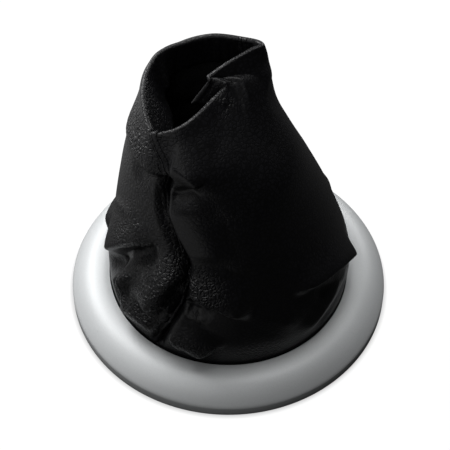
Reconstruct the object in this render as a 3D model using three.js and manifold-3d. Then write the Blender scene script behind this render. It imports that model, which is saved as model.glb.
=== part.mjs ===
// Gear lever gaiter: a leather boot sewn from two panels, clamped in a round bezel that sits on the car's console.
// Millimetres, +Z up. The origin is the middle of the bezel's foot. -Y is the front, +X the right-hand side.
// An angle is in degrees, anticlockwise seen from above: 0 is +X, 90 the back, 180 the left and 270 the front.
// A level is the length in millimetres along the leather, from where it leaves the bezel up to the rim of its mouth.
import * as THREE from 'three';
import { mergeVertices } from 'three/addons/utils/BufferGeometryUtils.js';
import Module from 'manifold-3d';

// Room between pieces that touch
const GAP = 0.3;

// Bezel: a painted plastic moulding round the leather's mouth, a skirt with a rounded crown. The crown's slope is a
// quarter ellipse with its two powers, and takes its share of the outline up to the crown's highest line.
const MOUTH_RADIUS = 52.8;
const BAND_WIDTH = 17.2;
const BEZEL_WALL = 2;
const SKIRT_HEIGHT = 4.8;
const CROWN_HEIGHT = 13.1;
const CROWN_LEAN = 3.6;
const CROWN_FALL = 1.6;
const SLOPE_SHARE = 0.7;
const SLOPE_POWERS = [1.15, 0.9];
const SLOPE_PLACES = [0, 0.06, 0.14, 0.24, 0.36, 0.48, 0.6, SLOPE_SHARE];
const LIP_THICKNESS = 1.9;
const LIP_BEVEL = 0.8;

// Leather: two panels, sewn edge to edge, with the edges and the top hem turned inside
const LEATHER = 1.1;
const MOUTH_ROOM = 0.7;
const FOOT_LEVEL = 11;
const TAIL_ROOM = 0.75;
const TAIL_BEND = 2;
const SEAM_ALLOWANCE = 5;
const SEAM_GAP = 0.4;
const HEM_WIDTH = 13;
const ALLOWANCE_START = 3.5;
const ALLOWANCE_END = 30;

// Frame: a black plastic ring inside the bezel that the leather is clamped to
const FRAME_WALL = 2;
const COLLAR_WALL = 1.7;
const COLLAR_TOP = 9.6;
const COLLAR_FOOT = 0.6;
const FLANGE_TOP = 5.15;
const FLANGE_ROOM = 1.4;
const FILLET_WIDTHS = [2.1, 0.7];
const SNAP_COUNT = 4;
const SNAP_WIDTH = 9;
const SNAP_DEPTH = 1.3;
const SNAP_HEIGHT = 2.2;
const SNAP_RISE = 1;
const SNAP_ROOT = 0.4;

// Screws: they hold the frame up into bosses under the bezel's crown
const SCREW_COUNT = 6;
const SCREW_INSET = 6.6;
const SCREW_RADIUS = 1.1;
const SCREW_LENGTH = 5.4;
const HEAD_RADIUS = 2.4;
const HEAD_HEIGHT = 1.5;
const SLOT_LENGTH = 3.1;
const SLOT_WIDTH = 0.7;
const SLOT_DEPTH = 0.7;
const BOSS_RADIUS = 2.7;
const BOSS_COVER = 0.4;

// Fineness of the mesh
const TURN_STEPS = 72;
const PANEL_STEPS = 27;
const PLEAT_SHARES = [0.46, 0.66];
const LOW_STEP = 4;
const HIGH_STEP = 5;
const HIGH_FROM = 64;

const bezelRadius = MOUTH_RADIUS + BAND_WIDTH;
const crownRadius = MOUTH_RADIUS + CROWN_LEAN;
const lipInside = MOUTH_RADIUS + LIP_THICKNESS;
const crownInside = CROWN_HEIGHT - BEZEL_WALL;
const flangeRadius = bezelRadius - BEZEL_WALL - FLANGE_ROOM;
const screwCircle = bezelRadius - SCREW_INSET;
const halfLeather = LEATHER / 2;
const footRadius = MOUTH_RADIUS - MOUTH_ROOM;
const tailHeight = FLANGE_TOP + GAP + halfLeather;
const lipBottom = tailHeight + halfLeather + GAP;
const collarRadius = footRadius - LEATHER - GAP;
const tailRadius = screwCircle - BOSS_RADIUS - TAIL_ROOM;

// The boot's cross-sections under its neck: level, height, middle, half width, half depth and turn
const SECTIONS = [
  { level: 0, z: FOOT_LEVEL, x: 0, y: 0, wide: footRadius, deep: footRadius, turn: 0 },
  { level: 14, z: 25, x: 0, y: 0, wide: footRadius + 1.1, deep: footRadius + 0.9, turn: 0 },
  { level: 37, z: 48, x: -1.2, y: 0, wide: 48.2, deep: 48, turn: 0 },
  { level: 65, z: 76, x: -4.7, y: 0.5, wide: 40.3, deep: 39.5, turn: 0 },
  { level: 86, z: 96, x: -7.5, y: 1, wide: 33.8, deep: 31.5, turn: 10 },
];

// The neck and the rim of the mouth, each a closed curve through these points: angle, x, y, z
const NECK_LEVEL = 100;
const NECK = [
  [230, -31, -21, 104], [258, -17, -27, 106], [290, -4, -21, 108], [320, 6, -9, 110], [345, 12, 0, 112],
  [370, 15.5, 8, 113], [400, 17, 18, 114], [432, 8.5, 30, 115], [455, -6, 34, 115], [490, -24, 31, 113],
  [520, -34, 20, 111], [545, -37, 4, 109], [570, -36, -11, 106],
];
const RIM_LEVEL = 114;
const RIM = [
  [230, -29.5, -13.7, 116.5], [245, -24.5, -14.9, 117], [257, -20.6, -14, 118], [270, -16.8, -11.8, 119],
  [284, -13, -7.8, 120], [300, -8.8, -2.1, 120.5], [310, -5.8, 2.2, 121], [317, -3.2, 4.7, 121.4],
  [320.5, -2.3, 5.9, 121.6], [324, -3.3, 6.9, 121.9], [328, -5.4, 7.5, 122.1], [332, -7.9, 7.2, 122.2],
  [336, -9.6, 6.9, 122.4], [339, -9.4, 7.8, 122.8], [344, -7.4, 9.4, 123.4], [352, -4.3, 11.9, 124.5],
  [360, -1.5, 14.1, 125.5], [375, 3.2, 16.8, 127], [391, 8.3, 19.4, 128.5], [404, 12.7, 20.4, 129.5],
  [414, 12.2, 22.6, 129.3], [432, 5, 25.3, 128.6], [455, -6.6, 27.7, 128], [470, -13.4, 27.1, 126.5],
  [484, -18.5, 25.6, 125.5], [497, -24.1, 24.4, 124.5], [507, -28.4, 21.8, 123.5], [520, -30.7, 16.6, 122.5],
  [535, -32.5, 10.4, 121.5], [552, -33.2, 2.7, 120.5], [568, -32.6, -3.9, 119], [580, -31.4, -8.8, 117.5],
];
// A roll of slack leather lies round the collar's right-hand side, with a crease above it. At 320 the roll runs out
// into the rim, which turns back there to where the crease meets it, at 336.
const ROLL_LEVEL = 105;
const ROLL = [
  [230, -30.4, -18.4, 108.5], [258, -18.2, -22.4, 110.3], [284, -7.8, -17.2, 112], [300, -3.1, -11.2, 113],
  [310, 0, -7.8, 113.5], [317, 2.3, -4.6, 114.2], [320.5, 3.4, -2.4, 115.1], [324, 4.4, 0.6, 116.5],
  [328, 4.9, 4, 118.2], [332, 4.8, 7, 119.7], [336, 4.7, 8.8, 120.5], [340, 5.6, 9.6, 120.4], [346, 7.5, 10.3, 120],
  [352, 9.3, 10.9, 119.5], [360, 11.3, 11.7, 119], [375, 15, 13.6, 118.3], [391, 16.4, 17, 118],
  [404, 15.8, 20.7, 118.3], [414, 14.2, 23.8, 118.8], [432, 7.8, 29.2, 119.4], [455, -6, 32, 119.6],
  [490, -22.8, 28.6, 117.3], [520, -32.8, 18.8, 115.1], [545, -35.6, 5.3, 113.2], [570, -34.6, -8.7, 110.6],
];
const CREASE_LEVEL = 109;
const CREASE = [
  [230, -30, -16.2, 112], [258, -19.2, -18.2, 113.8], [284, -10, -12.8, 115.4], [300, -5.6, -6.9, 116.3],
  [310, -2.7, -3.2, 116.9], [317, -0.4, 0.6, 118.1], [320.5, 0.7, 2.9, 119.2], [324, 1.1, 5.2, 120.4],
  [328, 0.2, 7.4, 121.4], [332, -2.2, 8.6, 121], [336, -4.8, 9.3, 120.4], [340, -5.4, 10, 120],
  [346, -3.8, 10.9, 119.9], [352, -1.8, 11.7, 119.9], [360, 1.6, 12.6, 119.6], [375, 7.8, 13.6, 118.9],
  [391, 12.5, 14.8, 119.2], [404, 14.6, 18.2, 120.6], [414, 13.4, 22.6, 122], [432, 6.8, 28.2, 123],
  [455, -6.2, 30.2, 123.4], [490, -21.6, 27.2, 121], [520, -32, 17.8, 118.6], [545, -34.4, 6, 116.8],
  [570, -33.2, -6.8, 114.2],
];
// How far the turned-in hem leans into the mouth, in degrees by angle, and the share of its width that it has: it
// runs out where the rim turns back
const HEM_LEAN = [
  [230, 2], [312, 2], [325, 8], [350, 8], [404, 12], [414, 16], [428, 38], [465, 40], [500, 36], [530, 50], [590, 56],
];
const HEM_SHARE = [
  [230, 1], [300, 1], [313, 0.25], [344, 0.25], [360, 1], [385, 0.8], [400, 0.35], [416, 0.35], [426, 0.9], [500, 1],
  [540, 1.25], [590, 1.25],
];

// The two seams: angle by level
const FRONT_SEAM = [
  [0, 233], [12, 238], [26, 244], [40, 249], [54, 252], [66, 249], [80, 243], [90, 245], [97, 245.5], [103, 243],
  [109, 236.5], [114, 229],
];
const BACK_SEAM = [[0, 412], [40, 418], [80, 425], [100, 430], [114, 432]];

// Folds of the slack leather. A fold runs through its points (angle, level) and stands out of the surface, or into
// it where out is below zero, over its width to each side. What hangs over has a drop. under is the share of the
// width that is taken on the right-hand side of its run, where a small one gives a sharp lower edge. crisp makes the
// fold a ridge, the sharper the smaller it is.
const FOLDS = [
  // Left panel, from the collar down to the bezel
  { run: [[172, 90], [190, 93], [210, 99], [236, 104], [250, 103]], width: 13, out: 2.2, under: 0.7 },
  { run: [[205, 80], [227, 87], [244, 94], [251, 97]], width: 7, out: -2.5, crisp: 0.4 },
  {
    run: [[180, 34], [192, 41], [208, 49], [222, 56], [235, 63]],
    width: 14, out: 4.6, drop: 2.5, under: 0.35, crisp: 0.5,
  },
  { run: [[186, 18], [202, 31], [215, 41], [227, 49], [242, 57]], width: 7, out: -4.5 },
  { run: [[176, 56], [190, 58], [203, 62]], width: 4, out: 0.9, crisp: 0.3 },
  { run: [[190, 66], [204, 64], [217, 60]], width: 4, out: 0.8, crisp: 0.3 },
  { run: [[214, 68], [223, 64], [230, 59]], width: 4, out: 1, crisp: 0.3 },
  {
    run: [[218, 22], [221, 31], [227, 42], [236, 49], [244, 53], [252, 55]],
    width: 10, out: 5.2, drop: 0.5, under: 0.8, crisp: 0.35,
  },
  { run: [[251, 51], [246, 43], [242, 36], [239, 27]], width: 6, out: -3.5, under: 1.2 },
  { run: [[214, 16], [207, 18], [204, 25], [207, 33], [215, 41]], width: 6, out: 3.6, crisp: 0.3 },
  { run: [[190, 30], [196, 17], [202, 6]], width: 6, out: -4.5 },
  { run: [[212, 30], [216, 20], [222, 12]], width: 4, out: -1.6, crisp: 0.4 },
  { run: [[210, 5], [221, 10], [231, 12], [240, 11]], width: 8, out: 3.5, crisp: 0.4 },
  { run: [[226, 20], [234, 22], [242, 25]], width: 4.5, out: -3 },
  // Along the seam
  {
    run: [[246, 101], [248, 95], [245, 87], [242, 77], [246, 68], [250, 60], [252, 54], [250, 46], [249, 36]],
    width: 6, out: -5.5, under: 1.8, ends: 0.12,
  },
  { run: [[249, 38], [245, 30], [241, 20], [236, 8], [233, 0]], width: 4, out: -3.5, ends: 0.12 },
  // Right panel, from the seam to the right-hand side
  { run: [[248, 104], [254, 103], [260, 100], [265, 96], [270, 89]], width: 7, out: 1.8, under: 0.8, crisp: 0.25 },
  { run: [[250, 96], [256, 90], [262, 86], [267, 84]], width: 5, out: -1.6, crisp: 0.4 },
  { run: [[255, 78], [259, 70], [264, 61], [270, 50]], width: 11, out: 3, under: 0.7, crisp: 0.35 },
  { run: [[250, 54], [256, 50], [263, 45], [270, 40]], width: 9.5, out: 5.5, drop: 3.5, under: 0.35, crisp: 0.4 },
  { run: [[250, 36], [257, 33], [264, 30], [273, 30]], width: 7, out: -5 },
  { run: [[245, 19], [252, 17], [259, 13], [263, 9]], width: 12, out: 4, crisp: 0.6 },
  { run: [[262, 41], [279, 35], [292, 28], [306, 17]], width: 12, out: 2.6, under: 0.35, crisp: 0.3 },
  { run: [[266, 31], [279, 27], [290, 20], [303, 10]], width: 6, out: -2.2, crisp: 0.4 },
  {
    run: [[296, 36], [310, 36], [322, 34], [334, 31], [346, 25], [360, 15]],
    width: 12, out: 5, under: 0.5, crisp: 0.25,
  },
  { run: [[318, 25], [330, 22], [342, 16]], width: 5, out: -2.6, crisp: 0.4 },
  { run: [[309, 8], [316, 14], [324, 18], [333, 19], [342, 17]], width: 6, out: 3, under: 0.6, crisp: 0.3 },
  { run: [[314, 3], [326, 9], [338, 10], [350, 13]], width: 4.5, out: -3.2 },
  // Back
  { run: [[60, 30], [85, 38], [110, 36], [136, 27]], width: 12, out: 4.5, drop: 2, under: 0.5, crisp: 0.4 },
  { run: [[72, 17], [96, 23], [122, 20]], width: 8, out: -3.5 },
  { run: [[92, 60], [118, 66], [148, 58], [166, 56]], width: 13, out: 3.5, drop: 1.5, under: 0.5, crisp: 0.4 },
  { run: [[62, 78], [84, 84], [112, 80]], width: 10, out: 2.5, crisp: 0.5 },
  { run: [[138, 13], [156, 19], [174, 17]], width: 9, out: 3.5, crisp: 0.4 },
  { run: [[136, 44], [158, 48], [176, 40]], width: 9, out: -3.5 },
  { run: [[24, 22], [46, 30], [66, 24]], width: 10, out: 2.5, under: 0.5, crisp: 0.4 },
  { run: [[30, 10], [48, 15], [66, 11]], width: 7, out: -2.5 },
  { run: [[70, 92], [100, 99], [130, 94], [152, 98]], width: 9, out: -2.5 },
];
const FOLD_ENDS = 0.25;
const RIDGE_POWER = 1.6;
const RUN_STEPS = 4;
// Folds fade out over this length above the bezel
const FOLD_FADE = 5;
// The upright line that widths round the boot are measured from
const BOOT_AXIS_X = -3;

const wasm = await Module();
wasm.setup();

const leather = new THREE.MeshStandardMaterial({ color: 0x131314, roughness: 0.45 });
const silverPaint = new THREE.MeshStandardMaterial({ color: 0xb9bcbe, roughness: 0.35, metalness: 0.5 });
const blackPlastic = new THREE.MeshStandardMaterial({ color: 0x1d1e20, roughness: 0.6 });
const zincSteel = new THREE.MeshStandardMaterial({ color: 0xa9adb0, roughness: 0.35, metalness: 1 });

const radians = THREE.MathUtils.degToRad;
const smooth = (x) => THREE.MathUtils.smoothstep(x, 0, 1);

// Slope at the middle one of three points, weighted by their distances
function slope(before, here, after, stepBefore, stepAfter) {
  const slopeBefore = here.clone().sub(before).divideScalar(stepBefore);
  const slopeAfter = after.clone().sub(here).divideScalar(stepAfter);
  return slopeBefore.lerp(slopeAfter, stepBefore / (stepBefore + stepAfter));
}

// Cubic from a to b with the slopes slopeA and slopeB, t from 0 to 1 over the length step
function hermite(a, slopeA, b, slopeB, t, step) {
  const t2 = t * t;
  const t3 = t2 * t;
  return a.clone().multiplyScalar(2 * t3 - 3 * t2 + 1)
    .addScaledVector(slopeA, (t3 - 2 * t2 + t) * step)
    .addScaledVector(b, 3 * t2 - 2 * t3)
    .addScaledVector(slopeB, (t3 - t2) * step);
}

// A closed smooth curve through points (angle, x, y, z), as a function of the angle
function closedCurve(points) {
  const turn = (k) => Math.floor(k / points.length);
  const wrap = (k) => k - turn(k) * points.length;
  const angleAt = (k) => points[wrap(k)][0] + 360 * turn(k);
  const pointAt = (k) => new THREE.Vector3(...points[wrap(k)].slice(1));
  const slopeAt = (k) => slope(
    pointAt(k - 1), pointAt(k), pointAt(k + 1), angleAt(k) - angleAt(k - 1), angleAt(k + 1) - angleAt(k),
  );
  return (angle) => {
    const turned = THREE.MathUtils.euclideanModulo(angle - points[0][0], 360) + points[0][0];
    let k = points.length - 1;
    while (angleAt(k) > turned) k -= 1;
    const step = angleAt(k + 1) - angleAt(k);
    return hermite(pointAt(k), slopeAt(k), pointAt(k + 1), slopeAt(k + 1), (turned - angleAt(k)) / step, step);
  };
}

// An upright-facing ellipse as a function of the angle
function ellipse({ z, x, y, wide, deep, turn }) {
  const axis = new THREE.Vector3(0, 0, 1);
  return (angle) => {
    const a = radians(angle - turn);
    const point = new THREE.Vector3(wide * Math.cos(a), deep * Math.sin(a), 0);
    return point.applyAxisAngle(axis, radians(turn)).add(new THREE.Vector3(x, y, z));
  };
}

// Value at x on the broken line through pairs (x, value)
function alongLine(pairs, x) {
  const last = pairs.length - 1;
  if (x <= pairs[0][0]) return pairs[0][1];
  if (x >= pairs[last][0]) return pairs[last][1];
  const k = pairs.findIndex((pair) => pair[0] > x);
  const [x0, value0] = pairs[k - 1];
  const [x1, value1] = pairs[k];
  return value0 + ((value1 - value0) * (x - x0)) / (x1 - x0);
}

const levels = [...SECTIONS.map((section) => section.level), NECK_LEVEL, ROLL_LEVEL, CREASE_LEVEL, RIM_LEVEL];
const sectionCurves = [...SECTIONS.map(ellipse), ...[NECK, ROLL, CREASE, RIM].map(closedCurve)];

// The boot without its folds: a smooth skin through the sections, neck and rim
function skin(angle, level) {
  const last = levels.length - 1;
  let k = Math.min(last - 1, Math.max(0, levels.findIndex((other) => other > level) - 1));
  if (level >= levels[last]) k = last - 1;
  const points = sectionCurves.map((curve) => curve(angle));
  const step = levels[k + 1] - levels[k];
  const slopeAt = (i) => {
    if (i === 0) return points[1].clone().sub(points[0]).divideScalar(levels[1] - levels[0]);
    if (i === last) return points[i].clone().sub(points[i - 1]).divideScalar(levels[i] - levels[i - 1]);
    return slope(points[i - 1], points[i], points[i + 1], levels[i] - levels[i - 1], levels[i + 1] - levels[i]);
  };
  return hermite(points[k], slopeAt(k), points[k + 1], slopeAt(k + 1), (level - levels[k]) / step, step);
}

// Outward direction across a surface given as a function of angle and level
function outward(surface, angle, level) {
  const top = Math.min(level + 0.5, RIM_LEVEL);
  const bottom = Math.max(level - 0.5, 0);
  const round = surface(angle + 0.5, level).sub(surface(angle - 0.5, level));
  const up = surface(angle, top).sub(surface(angle, bottom));
  return round.cross(up).normalize();
}

// A fold's run as a fine smooth line through its points, with the length up to each point
function fineRun(fold) {
  const curve = new THREE.CatmullRomCurve3(fold.run.map(([angle, level]) => new THREE.Vector3(angle, level, 0)));
  const run = curve.getPoints((fold.run.length - 1) * RUN_STEPS).map(({ x, y }) => [x, y]);
  const lengths = [0];
  for (let k = 1; k < run.length; k += 1) {
    const across = radians(run[k][0] - run[k - 1][0]) * footRadius;
    lengths.push(lengths[k - 1] + Math.hypot(across, run[k][1] - run[k - 1][1]));
  }
  return { ...fold, run, lengths };
}

const fineFolds = FOLDS.map(fineRun);

// How much of a fold there is at a place: 1 on its run, falling to 0 at its width and towards its ends
function foldShare({ run, lengths, width, under = 1, ends = FOLD_ENDS, crisp = 0 }, angle, level, radius) {
  let nearest = Infinity;
  let along = 0;
  let reach = width;
  for (let k = 0; k < run.length - 1; k += 1) {
    const x = radians(THREE.MathUtils.euclideanModulo(angle - run[k][0] + 180, 360) - 180) * radius;
    const y = level - run[k][1];
    const dx = radians(run[k + 1][0] - run[k][0]) * radius;
    const dy = run[k + 1][1] - run[k][1];
    const t = THREE.MathUtils.clamp((x * dx + y * dy) / (dx * dx + dy * dy), 0, 1);
    const distance = Math.hypot(x - t * dx, y - t * dy);
    if (distance < nearest) {
      nearest = distance;
      along = lengths[k] + t * (lengths[k + 1] - lengths[k]);
      const leftness = (dx * y - dy * x) / (Math.hypot(dx, dy) * distance + 1e-9);
      reach = width * THREE.MathUtils.lerp(under, 1, (1 + leftness) / 2);
    }
  }
  const share = Math.min(1, nearest / reach);
  const place = along / lengths[run.length - 1];
  const ridge = (1 - (Math.hypot(share, crisp) - crisp) / (Math.hypot(1, crisp) - crisp)) ** RIDGE_POWER;
  const bump = crisp ? ridge : (1 - share * share) ** 2;
  return bump * smooth(place / ends) * smooth((1 - place) / ends);
}

// The boot's outer face with its folds
function folded(angle, level) {
  const point = skin(angle, level);
  const out = outward(skin, angle, level);
  const radius = Math.hypot(point.x - BOOT_AXIS_X, point.y);
  const fade = smooth(level / FOLD_FADE);
  for (const fold of fineFolds) {
    const share = foldShare(fold, angle, level, radius) * fade;
    point.addScaledVector(out, share * fold.out);
    point.z -= share * (fold.drop ?? 0);
  }
  return point;
}

// The sheet's middle line from its clamped tail to the end of the turned-in hem, at one angle. Each place has its
// point and the outward and upward directions there, and the share of the seam allowance that it turns in.
function rise(angleAt) {
  const places = [];
  const ring = (radius, z, level, tilt) => {
    const a = radians(angleAt(level));
    const flat = new THREE.Vector3(Math.cos(a), Math.sin(a), 0);
    const out = flat.clone().multiplyScalar(Math.cos(tilt)).add(new THREE.Vector3(0, 0, Math.sin(tilt)));
    places.push({ point: flat.multiplyScalar(radius).setZ(z), out, steady: out, turned: 0 });
  };
  const wallRadius = footRadius - halfLeather;
  const bendRadius = wallRadius + TAIL_BEND;
  ring(tailRadius, tailHeight, 0, Math.PI / 2);
  for (const share of [1, 0.5, 0]) {
    const tilt = (share * Math.PI) / 2;
    ring(bendRadius - TAIL_BEND * Math.cos(tilt), tailHeight + TAIL_BEND * (1 - Math.sin(tilt)), 0, tilt);
  }
  const rows = [];
  for (let level = 0; level < HIGH_FROM; level += LOW_STEP) rows.push(level);
  const highRows = Math.round((RIM_LEVEL - HIGH_FROM) / HIGH_STEP);
  for (let k = 0; k <= highRows; k += 1) rows.push(HIGH_FROM + ((RIM_LEVEL - HIGH_FROM) * k) / highRows);
  for (const level of rows) {
    const angle = angleAt(level);
    const out = outward(folded, angle, level);
    const fromFoot = smooth((level - 0.5) / ALLOWANCE_START);
    const fromRim = smooth((RIM_LEVEL - HEM_WIDTH - level) / (ALLOWANCE_END - HEM_WIDTH));
    const point = folded(angle, level).addScaledVector(out, -halfLeather);
    places.push({ point, out, steady: outward(skin, angle, level), turned: fromFoot * fromRim });
  }
  const { point: rim, out: rimOut } = places[places.length - 1];
  const angle = angleAt(RIM_LEVEL);
  const up = folded(angle, RIM_LEVEL).sub(folded(angle, RIM_LEVEL - 3)).normalize();
  const away = rimOut.clone().addScaledVector(up, -rimOut.dot(up)).normalize();
  const turned = THREE.MathUtils.euclideanModulo(angle - RIM[0][0], 360) + RIM[0][0];
  const lean = radians(alongLine(HEM_LEAN, turned));
  const hemWidth = HEM_WIDTH * alongLine(HEM_SHARE, turned);
  const bend = halfLeather + GAP / 2;
  const hemPlace = (turn, length) => {
    const run = away.clone().multiplyScalar(-Math.sin(turn)).addScaledVector(up, Math.cos(turn));
    const point = rim.clone().addScaledVector(away, -bend * (1 - Math.cos(turn)));
    point.addScaledVector(up, bend * Math.sin(turn)).addScaledVector(run, length);
    const out = away.clone().multiplyScalar(Math.cos(turn)).addScaledVector(up, Math.sin(turn));
    return { point, out, steady: out, turned: 0 };
  };
  const fullTurn = Math.PI - lean;
  for (const share of [0.35, 0.7, 1]) places.push(hemPlace(share * fullTurn, 0));
  for (const share of [0.5, 1]) places.push(hemPlace(fullTurn, share * hemWidth));
  return places;
}

// A panel's edge at a seam, from the end of the allowance to where the panel is plain: the distance from the seam
// and the depth below the surface, for an allowance that is turned in by the share given
function seamEdge(turned) {
  const early = Math.min(1, turned * 4);
  const edge = SEAM_GAP / 2;
  const flat = [edge, edge + 0.5, edge + 1.1, edge + 2];
  const fromSeam = [edge + halfLeather, edge + halfLeather, edge + halfLeather + 0.4, edge + 2];
  const deep = [SEAM_ALLOWANCE, LEATHER, LEATHER / 3, 0];
  return flat.map((place, k) => [place + (fromSeam[k] - place) * early, deep[k] * turned]);
}

// Shares of a panel's width at which its columns stand, three times as close between the two shares given
function columnShares(closeFrom = 1, closeTo = 1) {
  const shares = [];
  let share = 1 / PANEL_STEPS;
  while (share < 0.999) {
    shares.push(share);
    share += (share > closeFrom && share < closeTo ? 1 / 3 : 1) / PANEL_STEPS;
  }
  return shares;
}

// One panel: its columns of places, from seam to seam
function panelColumns(startSeam, endSeam, shares) {
  const start = (level) => alongLine(startSeam, level);
  const end = (level) => alongLine(endSeam, level);
  const inner = shares.map((share) => rise((level) => THREE.MathUtils.lerp(start(level), end(level), share)));
  // The edge columns of both panels are mirrored in the seam, so that their allowances lie back to back
  const edge = (seam, towards) => {
    const places = rise(seam);
    const last = places.length - 1;
    return [0, 1, 2, 3].map((k) => places.map((place, row) => {
      const path = places[Math.min(last, row + 1)].point.clone().sub(places[Math.max(0, row - 1)].point);
      const inward = k < 3 ? place.steady : place.out;
      const side = path.cross(inward).normalize().multiplyScalar(towards);
      const [distance, depth] = seamEdge(place.turned)[k];
      return { point: place.point.clone().addScaledVector(side, distance).addScaledVector(inward, -depth) };
    }));
  };
  return [...edge(start, 1), ...inner, ...edge(end, -1).reverse()];
}

// A closed wall of the leather's thickness about a grid of middle points, columns[i][j]
function thickSheet(columns) {
  const across = columns.length;
  const rows = columns[0].length;
  const at = (i, j) => columns[Math.min(across - 1, Math.max(0, i))][Math.min(rows - 1, Math.max(0, j))].point;
  const positions = [];
  for (const side of [halfLeather, -halfLeather]) {
    for (let i = 0; i < across; i += 1) {
      for (let j = 0; j < rows; j += 1) {
        const round = at(i + 1, j).clone().sub(at(i - 1, j));
        const up = at(i, j + 1).clone().sub(at(i, j - 1));
        const point = at(i, j).clone().addScaledVector(round.cross(up).normalize(), side);
        positions.push(point.x, point.y, point.z);
      }
    }
  }
  const index = [];
  const inside = across * rows;
  const quad = (a, b, c, d) => index.push(a, b, c, a, c, d);
  for (let i = 0; i < across - 1; i += 1) {
    for (let j = 0; j < rows - 1; j += 1) {
      const a = i * rows + j;
      quad(a, a + rows, a + rows + 1, a + 1);
      quad(inside + a, inside + a + 1, inside + a + rows + 1, inside + a + rows);
    }
  }
  for (let i = 0; i < across - 1; i += 1) {
    const foot = i * rows;
    const top = foot + rows - 1;
    quad(foot, inside + foot, inside + foot + rows, foot + rows);
    quad(top, top + rows, inside + top + rows, inside + top);
  }
  const lastColumn = (across - 1) * rows;
  for (let j = 0; j < rows - 1; j += 1) {
    quad(j, j + 1, inside + j + 1, inside + j);
    quad(lastColumn + j, inside + lastColumn + j, inside + lastColumn + j + 1, lastColumn + j + 1);
  }
  const geometry = new THREE.BufferGeometry();
  geometry.setAttribute('position', new THREE.Float32BufferAttribute(positions, 3));
  geometry.setIndex(index);
  geometry.computeVertexNormals();
  return geometry;
}

// Turned ring from a closed profile of (radius, z) points that runs anticlockwise in the radius-height plane
function turnedRing(profile) {
  const points = profile.map(([radius, z]) => new THREE.Vector2(radius, z));
  points.push(points[0].clone());
  const geometry = new THREE.LatheGeometry(points, TURN_STEPS);
  geometry.rotateX(Math.PI / 2);
  return geometry;
}

function toSolid(geometry) {
  const bare = geometry.clone();
  bare.deleteAttribute('normal');
  bare.deleteAttribute('uv');
  const merged = mergeVertices(bare, 1e-4);
  const solid = new wasm.Manifold(new wasm.Mesh({
    numProp: 3,
    vertProperties: new Float32Array(merged.attributes.position.array),
    triVerts: new Uint32Array(merged.index.array),
  }));
  return solid;
}

function toGeometry(solid) {
  const mesh = solid.getMesh();
  const geometry = new THREE.BufferGeometry();
  geometry.setAttribute('position', new THREE.Float32BufferAttribute(mesh.vertProperties, 3));
  geometry.setIndex(new THREE.Uint32BufferAttribute(mesh.triVerts, 1));
  geometry.computeVertexNormals();
  return geometry;
}

function cylinder(radius, bottom, top, steps, x = 0, y = 0) {
  const geometry = new THREE.CylinderGeometry(radius, radius, top - bottom, steps);
  return geometry.rotateX(Math.PI / 2).translate(x, y, (top + bottom) / 2);
}

// Points evenly on a circle about the origin, the first one off the +X axis by the angle given
function aroundCircle(count, radius, first) {
  return Array.from({ length: count }, (_, k) => {
    const angle = first + (k * 360) / count;
    return { angle, x: radius * Math.cos(radians(angle)), y: radius * Math.sin(radians(angle)) };
  });
}

// The crown's outline from the skirt over its top to the mouth, at a share of its run from 0 to 1, set in by inset
function crownPoint(share, inset) {
  if (share <= SLOPE_SHARE) {
    const t = (share / SLOPE_SHARE) * (Math.PI / 2);
    const reach = bezelRadius - inset - crownRadius;
    const height = CROWN_HEIGHT - inset - SKIRT_HEIGHT;
    return [
      crownRadius + reach * Math.cos(t) ** SLOPE_POWERS[0], SKIRT_HEIGHT + height * Math.sin(t) ** SLOPE_POWERS[1],
    ];
  }
  const t = ((share - SLOPE_SHARE) / (1 - SLOPE_SHARE)) * (Math.PI / 2);
  const inner = MOUTH_RADIUS + inset;
  return [inner + (crownRadius - inner) * Math.cos(t), CROWN_HEIGHT - inset - CROWN_FALL * (1 - Math.cos(t))];
}

// Screw places: on the bezel's bosses
const screwPlaces = aroundCircle(SCREW_COUNT, screwCircle, 360 / SCREW_COUNT / 2);

function trimRing() {
  const outer = [...SLOPE_PLACES, 0.8, 0.9, 1].map((share) => crownPoint(share, 0));
  const inner = [SLOPE_SHARE, 0.5, 0.3, 0.12, 0].map((share) => crownPoint(share, BEZEL_WALL));
  let solid = toSolid(turnedRing([
    [bezelRadius - BEZEL_WALL, 0], [bezelRadius, 0], ...outer, [MOUTH_RADIUS, lipBottom + LIP_BEVEL],
    [MOUTH_RADIUS + LIP_BEVEL, lipBottom], [lipInside, lipBottom], [lipInside, crownInside - 0.5], ...inner,
  ]));
  const bossBottom = FLANGE_TOP + GAP;
  const holeTop = FLANGE_TOP - FRAME_WALL + SCREW_LENGTH;
  const underCrown = toSolid(turnedRing([
    [bezelRadius - BEZEL_WALL, 0], ...SLOPE_PLACES.map((share) => crownPoint(share, BOSS_COVER)),
    [lipInside, CROWN_HEIGHT - BOSS_COVER], [lipInside, 0],
  ]));
  for (const { x, y } of screwPlaces) {
    const boss = toSolid(cylinder(BOSS_RADIUS, bossBottom, crownInside, 16, x, y));
    const hole = toSolid(cylinder(SCREW_RADIUS + GAP, bossBottom - 1, holeTop, 12, x, y));
    solid = solid.add(boss.intersect(underCrown)).subtract(hole);
  }
  return toGeometry(solid);
}

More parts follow.
